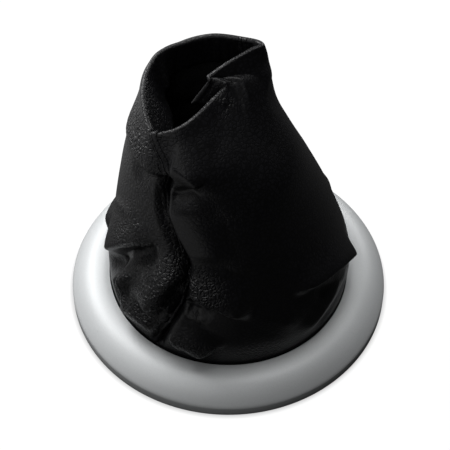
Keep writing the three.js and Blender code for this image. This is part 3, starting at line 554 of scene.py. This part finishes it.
def edge_columns(middle, out, steady, turned, towards):
    """The columns of one panel's edge along a seam, mirrored in the seam for the other panel: each lies beside the
    seam by the profile's distance, across the leather's own face at the top of the bend and across the unfolded
    skin below it, and inwards by the profile's depth as far as the allowance is turned in."""
    path = np.gradient(middle, axis=0)
    side_flat = unit(np.cross(path, out)) * towards
    side_deep = unit(np.cross(path, steady)) * towards
    distance, depth, flat = seam_profile()
    early = np.minimum(1, turned * EARLY_TURN)[:, None]
    columns = []
    for far, deep, plain in zip(distance, depth, flat):
        place = plain + (far - plain) * early
        blend = min(1.0, deep / FACE_DEPTH)
        side = unit(side_flat * (1 - blend) + side_deep * blend)
        columns.append(middle + side * place - steady * deep * turned[:, None])
    return np.stack(columns, 1)


def thick_mesh(name, middle, half):
    """A closed wall about a grid of middle points: each is moved to both sides along the grid's own normal, and
    the four edges are closed with strips of faces. Returns the object, its outer face first in the mesh."""
    rows, across = middle.shape[:2]
    normal = unit(np.cross(np.gradient(middle, axis=1), np.gradient(middle, axis=0)))
    verts = np.concatenate([(middle + half * normal).reshape(-1, 3), (middle - half * normal).reshape(-1, 3)])
    n = rows * across
    grid = np.arange(n).reshape(rows, across)
    a, b, c, d = grid[:-1, :-1], grid[:-1, 1:], grid[1:, 1:], grid[1:, :-1]
    outer = np.stack([a, b, c, d], -1).reshape(-1, 4)
    inner = np.stack([a, d, c, b], -1).reshape(-1, 4) + n
    loop = np.concatenate([grid[0, :], grid[1:, -1], grid[-1, -2::-1], grid[-2:0:-1, 0]])
    after = np.roll(loop, -1)
    border = np.stack([after, loop, loop + n, after + n], -1)
    return make_object(name, verts, np.concatenate([outer, inner, border]))


def make_object(name, verts, quads):
    """A smooth-shaded mesh object from points in millimetres and four-sided faces."""
    mesh = bpy.data.meshes.new(name)
    mesh.from_pydata((verts * MM).tolist(), [], quads.tolist())
    mesh.update()
    mesh.shade_smooth()
    piece = bpy.data.objects.new(name, mesh)
    bpy.context.scene.collection.objects.link(piece)
    return piece


def boot_panels():
    """Both panels of the boot, each a wall about its middle points from seam to seam, with its allowances at both
    ends. Each point also keeps how coarse its grain is, and whether it lies on the flesh side."""
    lapped = [(level, angle + 360) for level, angle in FRONT_SEAM]
    clear = SEAM_CLEAR
    panels = []
    ends = ((FRONT_SEAM, BACK_SEAM), (BACK_SEAM, lapped))
    for name, (start, end), plain_grain in zip(("right_panel", "left_panel"), ends, PLAIN_GRAIN):
        middle, out, steady, turned, grain = panel_places(start, end, plain_grain)
        start_edge = edge_columns(middle[:, 0], out[:, 0], steady[:, 0], turned, 1)
        end_edge = edge_columns(middle[:, -1], out[:, -1], steady[:, -1], turned, -1)
        grid = np.concatenate([start_edge, middle[:, clear:-clear], end_edge[:, ::-1]], 1)
        panel = thick_mesh(name, grid, HALF_LEATHER)
        count = start_edge.shape[1]
        grain = np.concatenate([grain[:, [0] * count], grain[:, clear:-clear], grain[:, [-1] * count]], 1)
        layer = panel.data.attributes.new("grain", "FLOAT", "POINT")
        layer.data.foreach_set("value", np.tile(grain.ravel(), 2))
        layer = panel.data.attributes.new("flesh_side", "FLOAT", "POINT")
        layer.data.foreach_set("value", np.repeat([0.0, 1.0], grain.size))
        panels.append(panel)
    return panels


def crown_point(share, inset=0.0):
    """The bezel's crown from its skirt over the top to its mouth, share running from 0 to 1: a slope that rises
    from a crisp edge and flattens to the top, as one less a power of what is left of it, then a shallow parabola
    down to the mouth's edge and a quarter round."""
    if share <= SLOPE_END:
        x = 1 - share / SLOPE_END
        reach = BEZEL_RADIUS - inset - CROWN_RADIUS
        rise = CROWN_HEIGHT - inset - SKIRT_HEIGHT
        return CROWN_RADIUS + reach * x, SKIRT_HEIGHT + rise * (1 - x**SLOPE_POWER)
    inner = MOUTH_RADIUS + inset
    edge = inner + LIP_ROUND
    if share <= EDGE_START:
        t = (share - SLOPE_END) / (EDGE_START - SLOPE_END)
        return CROWN_RADIUS + (edge - CROWN_RADIUS) * t, CROWN_HEIGHT - inset - LIP_FALL * t**2
    t = (share - EDGE_START) / (1 - EDGE_START) * math.pi / 2
    return edge - LIP_ROUND * math.sin(t), CROWN_HEIGHT - inset - LIP_FALL - LIP_ROUND * (1 - math.cos(t))


def turned_mesh(profile, steps):
    """A closed ring: a closed profile of (radius, z), carried round the Z axis."""
    ring = np.array(profile, float)
    turn = np.radians(np.arange(steps) * 360.0 / steps)
    x = ring[None, :, 0] * np.cos(turn)[:, None]
    y = ring[None, :, 0] * np.sin(turn)[:, None]
    z = np.broadcast_to(ring[None, :, 1], x.shape)
    verts = np.stack([x, y, z], -1).reshape(-1, 3)
    i = np.arange(steps)[:, None]
    j = np.arange(len(ring))[None, :]
    after_i, after_j = (i + 1) % steps, (j + 1) % len(ring)
    n = len(ring)
    quads = np.stack([i * n + j, after_i * n + j, after_i * n + after_j, i * n + after_j], -1).reshape(-1, 4)
    return verts, quads


def bezel():
    """The bezel: one profile turned about Z, up the outside of its skirt, over its crown, down its lip and back
    under the crown, with small rounds at its edges, and bosses below, each a rectangle turned about its axis."""
    outer = [crown_point(share) for share in np.linspace(0, 1, CROWN_STEPS)]
    inner = [crown_point(share, BEZEL_WALL) for share in np.linspace(SLOPE_END, 0, INSIDE_STEPS)]
    lip_inside = MOUTH_RADIUS + LIP_THICKNESS
    under_crown = CROWN_HEIGHT - BEZEL_WALL
    foot = [
        (BEZEL_RADIUS - BEZEL_WALL, 0), (BEZEL_RADIUS - FOOT_ROUND, 0), (BEZEL_RADIUS - 0.1, 0.1),
        (BEZEL_RADIUS, FOOT_ROUND),
    ]
    skirt = [
        (BEZEL_RADIUS, SKIRT_HEIGHT * 0.5), (BEZEL_RADIUS, SKIRT_HEIGHT - SKIRT_ROUND),
        (BEZEL_RADIUS - 0.04, SKIRT_HEIGHT - 0.1),
    ]
    lip = [
        (MOUTH_RADIUS, LIP_BOTTOM + 2.2), (MOUTH_RADIUS, LIP_BOTTOM + LIP_CHAMFER),
        (MOUTH_RADIUS + 0.25, LIP_BOTTOM + 0.25), (MOUTH_RADIUS + LIP_CHAMFER, LIP_BOTTOM),
        (lip_inside, LIP_BOTTOM), (lip_inside, under_crown - 0.5),
    ]
    verts, quads = turned_mesh([*foot, *skirt, *outer[1:], *lip, *inner], RING_STEPS)
    all_verts, all_quads = [verts], [quads]
    top = under_crown - BOSS_ROOT
    boss = [(BOSS_BORE, BOSS_BOTTOM), (BOSS_RADIUS, BOSS_BOTTOM), (BOSS_RADIUS, top), (BOSS_BORE, top)]
    for k in range(BOSS_COUNT):
        a = math.radians((k + 0.5) * 360 / BOSS_COUNT)
        verts, quads = turned_mesh(boss, BOSS_STEPS)
        verts = verts + np.array([BOSS_CIRCLE * math.cos(a), BOSS_CIRCLE * math.sin(a), 0.0])
        all_quads.append(quads + sum(len(v) for v in all_verts))
        all_verts.append(verts)
    return make_object("bezel", np.concatenate(all_verts), np.concatenate(all_quads))


def linear(hex_colour):
    """An sRGB hex colour such as #a0b0c0, as linear red, green, blue and an alpha of 1."""
    channels = [int(hex_colour[i:i + 2], 16) / 255 for i in (1, 3, 5)]
    return (*[c / 12.92 if c <= 0.04045 else ((c + 0.055) / 1.055) ** 2.4 for c in channels], 1.0)


def add_node(tree, kind, inputs=None, **settings):
    """Adds a node with its settings. Each of its inputs is given a value, or linked where a socket is given."""
    node = tree.nodes.new(kind)
    for name, value in settings.items():
        setattr(node, name, value)
    for name, value in (inputs or {}).items():
        if isinstance(value, bpy.types.NodeSocket):
            tree.links.new(value, node.inputs[name])
        else:
            node.inputs[name].default_value = value
    return node


def new_material(name, **surface):
    """A material with one Principled surface and its plain values. Returns it, its tree and the surface."""
    material = bpy.data.materials.new(name)
    material.use_nodes = True
    tree = material.node_tree
    tree.nodes.clear()
    shader = add_node(tree, "ShaderNodeBsdfPrincipled", surface)
    add_node(tree, "ShaderNodeOutputMaterial", {"Surface": shader.outputs["BSDF"]})
    return material, tree, shader


def milled_leather():
    """Cowhide, drum-milled and pigment-finished. The tumbling breaks its face into soft pebbles of about 1.8 mm
    with creases between them, which are deeper where the slack leather is wrinkled. The pigment finish gives the
    eye a black satin, and the flesh side inside is a greyer, matt nap."""
    pebble = 1.8 * MM
    sway = 1.6 * pebble
    crease_share = 0.3
    crease_depth = 0.44 * MM
    face_rough, nap_rough = 0.36, 0.9
    material, tree, shader = new_material(
        "milled_leather", **{"Roughness": face_rough, "Specular IOR Level": 0.17},
    )
    where = add_node(tree, "ShaderNodeTexCoord").outputs["Object"]
    # Noise sways the places, so that the cells of the pebbles get uneven sides
    bend = add_node(tree, "ShaderNodeTexNoise", {"Vector": where, "Scale": 0.35 / pebble, "Detail": 2.0})
    centred = add_node(tree, "ShaderNodeVectorMath", {0: bend.outputs["Color"], 1: (0.5, 0.5, 0.5)},
                       operation="SUBTRACT")
    pushed = add_node(tree, "ShaderNodeVectorMath", {0: centred.outputs[0], "Scale": sway}, operation="SCALE")
    moved = add_node(tree, "ShaderNodeVectorMath", {0: where, 1: pushed.outputs[0]}, operation="ADD").outputs[0]
    cells = add_node(tree, "ShaderNodeTexVoronoi", {"Vector": moved, "Scale": 1 / pebble},
                     feature="DISTANCE_TO_EDGE")
    pebbles = add_node(tree, "ShaderNodeMapRange", {"Value": cells.outputs["Distance"], "From Max": crease_share},
                       interpolation_type="SMOOTHSTEP")
    # Finer cells within the pebbles
    fine = add_node(tree, "ShaderNodeTexVoronoi", {"Vector": moved, "Scale": 2.3 / pebble},
                    feature="DISTANCE_TO_EDGE")
    height = add_node(tree, "ShaderNodeMath", {0: fine.outputs["Distance"], 1: 0.6, 2: pebbles.outputs[0]},
                      operation="MULTIPLY_ADD")
    grain = add_node(tree, "ShaderNodeAttribute", attribute_name="grain")
    depth = add_node(tree, "ShaderNodeMath", {0: height.outputs[0], 1: grain.outputs["Fac"]}, operation="MULTIPLY")
    bump = add_node(tree, "ShaderNodeBump", {"Strength": 1.0, "Distance": crease_depth, "Height": depth.outputs[0]})
    # Painted shade: the creases between the pebbles are painted darker than the pebble tops.
    tone = add_node(tree, "ShaderNodeMix", {"Factor": pebbles.outputs[0], "A": linear("#070708"),
                                           "B": linear("#0e0e10")}, data_type="RGBA")
    flesh = add_node(tree, "ShaderNodeAttribute", attribute_name="flesh_side").outputs["Fac"]
    colour = add_node(tree, "ShaderNodeMix", {"Factor": flesh, "A": tone.outputs["Result"],
                                             "B": linear("#19191a")}, data_type="RGBA")
    rough = add_node(tree, "ShaderNodeMapRange", {"Value": flesh, "To Min": face_rough, "To Max": nap_rough})
    tree.links.new(colour.outputs["Result"], shader.inputs["Base Color"])
    tree.links.new(rough.outputs[0], shader.inputs["Roughness"])
    tree.links.new(bump.outputs["Normal"], shader.inputs["Normal"])
    return material


def silver_paint():
    """Metallic silver paint, sprayed on moulded ABS: a satin grey that is only slightly metallic, as its flakes lie
    in a matt lacquer. They are finer than the render shows, so their 0.35 mm cells are drawn coarser than life."""
    flake = 0.35 * MM
    material, tree, shader = new_material(
        "silver_paint", **{"Metallic": 0.12, "Roughness": 0.48, "Specular IOR Level": 0.25},
    )
    where = add_node(tree, "ShaderNodeTexCoord").outputs["Object"]
    flakes = add_node(tree, "ShaderNodeTexVoronoi", {"Vector": where, "Scale": 1 / flake}).outputs["Distance"]
    tone = add_node(tree, "ShaderNodeMix", {"Factor": flakes, "A": linear("#b1b3b4"), "B": linear("#a7a9aa")},
                    data_type="RGBA")
    bump = add_node(tree, "ShaderNodeBump", {"Strength": 0.1, "Distance": 0.02 * MM, "Height": flakes})
    tree.links.new(tone.outputs["Result"], shader.inputs["Base Color"])
    tree.links.new(bump.outputs["Normal"], shader.inputs["Normal"])
    return material


def moulded_black():
    """Black polypropylene from a spark-eroded mould, which leaves it matt, with an even grain of about 0.4 mm."""
    grain_width = 0.4 * MM
    material, tree, shader = new_material("moulded_black", **{"Base Color": linear("#17181a"), "Roughness": 0.6})
    where = add_node(tree, "ShaderNodeTexCoord").outputs["Object"]
    grain = add_node(tree, "ShaderNodeTexNoise", {"Vector": where, "Scale": 1 / grain_width, "Detail": 2.0})
    bump = add_node(tree, "ShaderNodeBump", {"Strength": 0.3, "Distance": 0.05 * MM,
                                            "Height": grain.outputs["Fac"]})
    tree.links.new(bump.outputs["Normal"], shader.inputs["Normal"])
    return material


def zinc_plate():
    """Bright zinc, electroplated on steel screws: a pale grey metal, a little streaky from the plating bath."""
    streak = 1.5 * MM
    material, tree, shader = new_material("zinc_plate", **{"Base Color": linear("#b9bdc0"), "Metallic": 1.0})
    where = add_node(tree, "ShaderNodeTexCoord").outputs["Object"]
    streaks = add_node(tree, "ShaderNodeTexNoise", {"Vector": where, "Scale": 1 / streak, "Detail": 3.0})
    rough = add_node(tree, "ShaderNodeMapRange", {"Value": streaks.outputs["Fac"], "To Min": 0.25, "To Max": 0.45})
    tree.links.new(rough.outputs[0], shader.inputs["Roughness"])
    return material


def pale_backdrop():
    """A matt floor that looks white to the camera, apart from the part of it under the boot, painted dark as shadow.
    What reflects or refracts shows it too, but dimmer, painted lighter mostly on the left, where the window's light
    falls, and only from further off, so that near the object it shows a painted shadow. It lights the object only
    weakly."""
    painted_shadow_to, white_from, white = 66 * MM, 72 * MM, 0.985
    glow_from, glow_full, glow = 80 * MM, 260 * MM, 0.9
    dim_side, lit_side, dim_share = 40 * MM, -80 * MM, 0.04
    material = bpy.data.materials.new("pale_backdrop")
    material.use_nodes = True
    tree = material.node_tree
    tree.nodes.clear()
    path = add_node(tree, "ShaderNodeLightPath")
    where = add_node(tree, "ShaderNodeTexCoord").outputs["Object"]
    away = add_node(tree, "ShaderNodeVectorMath", {0: where}, operation="LENGTH").outputs["Value"]
    # Painted shadow: to the camera the floor is dark within 66 mm of the axis, under the boot, and white beyond.
    near = add_node(tree, "ShaderNodeMapRange", {"Value": away, "From Min": painted_shadow_to, "From Max": white_from,
                                                "To Max": white})
    # Painted shade in reflections: glossy and transmission rays see the floor dark near the object, brightening
    # further off.
    far = add_node(tree, "ShaderNodeMapRange", {"Value": away, "From Min": glow_from, "From Max": glow_full,
                                               "To Max": glow})
    # Painted light in reflections: the floor is brighter on the left, as a painted pool of the window's light.
    across = add_node(tree, "ShaderNodeSeparateXYZ", {0: where}).outputs["X"]
    lit = add_node(tree, "ShaderNodeMapRange", {"Value": across, "From Min": dim_side, "From Max": lit_side,
                                               "To Min": dim_share})
    painted_floor_light = add_node(tree, "ShaderNodeMath", {0: far.outputs[0], 1: lit.outputs[0]}, operation="MULTIPLY")
    mirrored = add_node(tree, "ShaderNodeMath", {0: path.outputs["Is Glossy Ray"],
                                                1: path.outputs["Is Transmission Ray"]}, operation="MAXIMUM")
    reflected = add_node(tree, "ShaderNodeMath", {0: mirrored.outputs[0], 1: painted_floor_light.outputs[0]},
                         operation="MULTIPLY")
    shown = add_node(tree, "ShaderNodeMath", {0: path.outputs["Is Camera Ray"], 1: near.outputs[0],
                                             2: reflected.outputs[0]}, operation="MULTIPLY_ADD")
    light = add_node(tree, "ShaderNodeEmission", {"Color": linear("#ffffff"), "Strength": shown.outputs[0]})
    matt = add_node(tree, "ShaderNodeBsdfDiffuse", {"Color": linear("#2e2e2e")})
    both = add_node(tree, "ShaderNodeAddShader", {0: light.outputs[0], 1: matt.outputs[0]})
    add_node(tree, "ShaderNodeOutputMaterial", {"Surface": both.outputs[0]})
    return material


def dress_pieces():
    """Leather panels and bezel, each with its material and its body, in place of the CAD piece it stands for;
    the frame and screws get their materials.
    """
    leather = milled_leather()
    paint = silver_paint()
    right, left = boot_panels()
    for panel, node in ((right, "front_right_panel"), (left, "rear_left_panel")):
        panel.data.materials.append(leather)
        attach(panel, "root")
        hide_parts(node)
    ring = bezel()
    ring.data.materials.append(paint)
    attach(ring, "root")
    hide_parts("trim_ring")
    plastic, zinc = moulded_black(), zinc_plate()
    for name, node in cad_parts.items():
        if name == "carrier_frame" or name.startswith("frame_screw"):
            node.data.materials.clear()
            node.data.materials.append(plastic if name == "carrier_frame" else zinc)


def aim(thing, place, target):
    """Puts a lamp or camera at a place, turned towards the target."""
    thing.location = place
    thing.rotation_mode = "QUATERNION"
    thing.rotation_quaternion = (Vector(target) - Vector(place)).to_track_quat("-Z", "Y")


def add_lamp(name, place, size, power, target=(0, 0, 0.06)):
    """A rectangular soft lamp: place and size in metres, power in watts."""
    lamp = bpy.data.lights.new(name, "AREA")
    lamp.shape = "RECTANGLE"
    lamp.size, lamp.size_y = size
    lamp.energy = power
    holder = bpy.data.objects.new(name, lamp)
    bpy.context.scene.collection.objects.link(holder)
    aim(holder, place, target)


def studio():
    """The pale floor, with the room's light: a large window to the left and behind, which gives the main light, the
    ceiling, the room in front, a wall at the left, a wall behind to the right, and a dim white surround."""
    scene = bpy.context.scene
    half = 6.0
    corners = [(-half, -half, 0), (half, -half, 0), (half, half, 0), (-half, half, 0)]
    mesh = bpy.data.meshes.new("floor")
    mesh.from_pydata(corners, [], [(0, 1, 2, 3)])
    floor = bpy.data.objects.new("floor", mesh)
    scene.collection.objects.link(floor)
    floor.data.materials.append(pale_backdrop())
    add_lamp("window", (-0.33, 0.28, 0.44), (0.36, 0.36), 5.5)
    add_lamp("left_wall", (-0.46, -0.12, 0.26), (0.5, 0.3), 0.35)
    add_lamp("ceiling", (0.08, 0.12, 0.85), (0.5, 0.5), 4.0)
    add_lamp("room", (-0.22, -0.42, 0.62), (0.5, 0.5), 1.1)
    add_lamp("back_wall", (0.3, 0.6, 0.34), (0.5, 0.25), 2.4)
    world = bpy.data.worlds.new("surround")
    scene.world = world
    world.use_nodes = True
    tree = world.node_tree
    tree.nodes.clear()
    back = add_node(tree, "ShaderNodeBackground", {"Color": linear("#ffffff"), "Strength": 0.02})
    add_node(tree, "ShaderNodeOutputWorld", {"Surface": back.outputs[0]})
    scene.view_settings.view_transform = "Standard"


def camera():
    """The photograph's view: from the front, about 51 degrees down, with a long lens."""
    target = Vector((-1.5, 0.0, 41.3)) * MM
    elevation = math.radians(51.15)
    distance = 620 * MM
    film_width, focal_length = 36.0, 115.1
    lens = bpy.data.cameras.new("camera")
    lens.sensor_width = film_width
    lens.lens = focal_length
    holder = bpy.data.objects.new("camera", lens)
    bpy.context.scene.collection.objects.link(holder)
    aim(holder, target + distance * Vector((0, -math.cos(elevation), math.sin(elevation))), target)
    bpy.context.scene.camera = holder


dress_pieces()
studio()
camera()
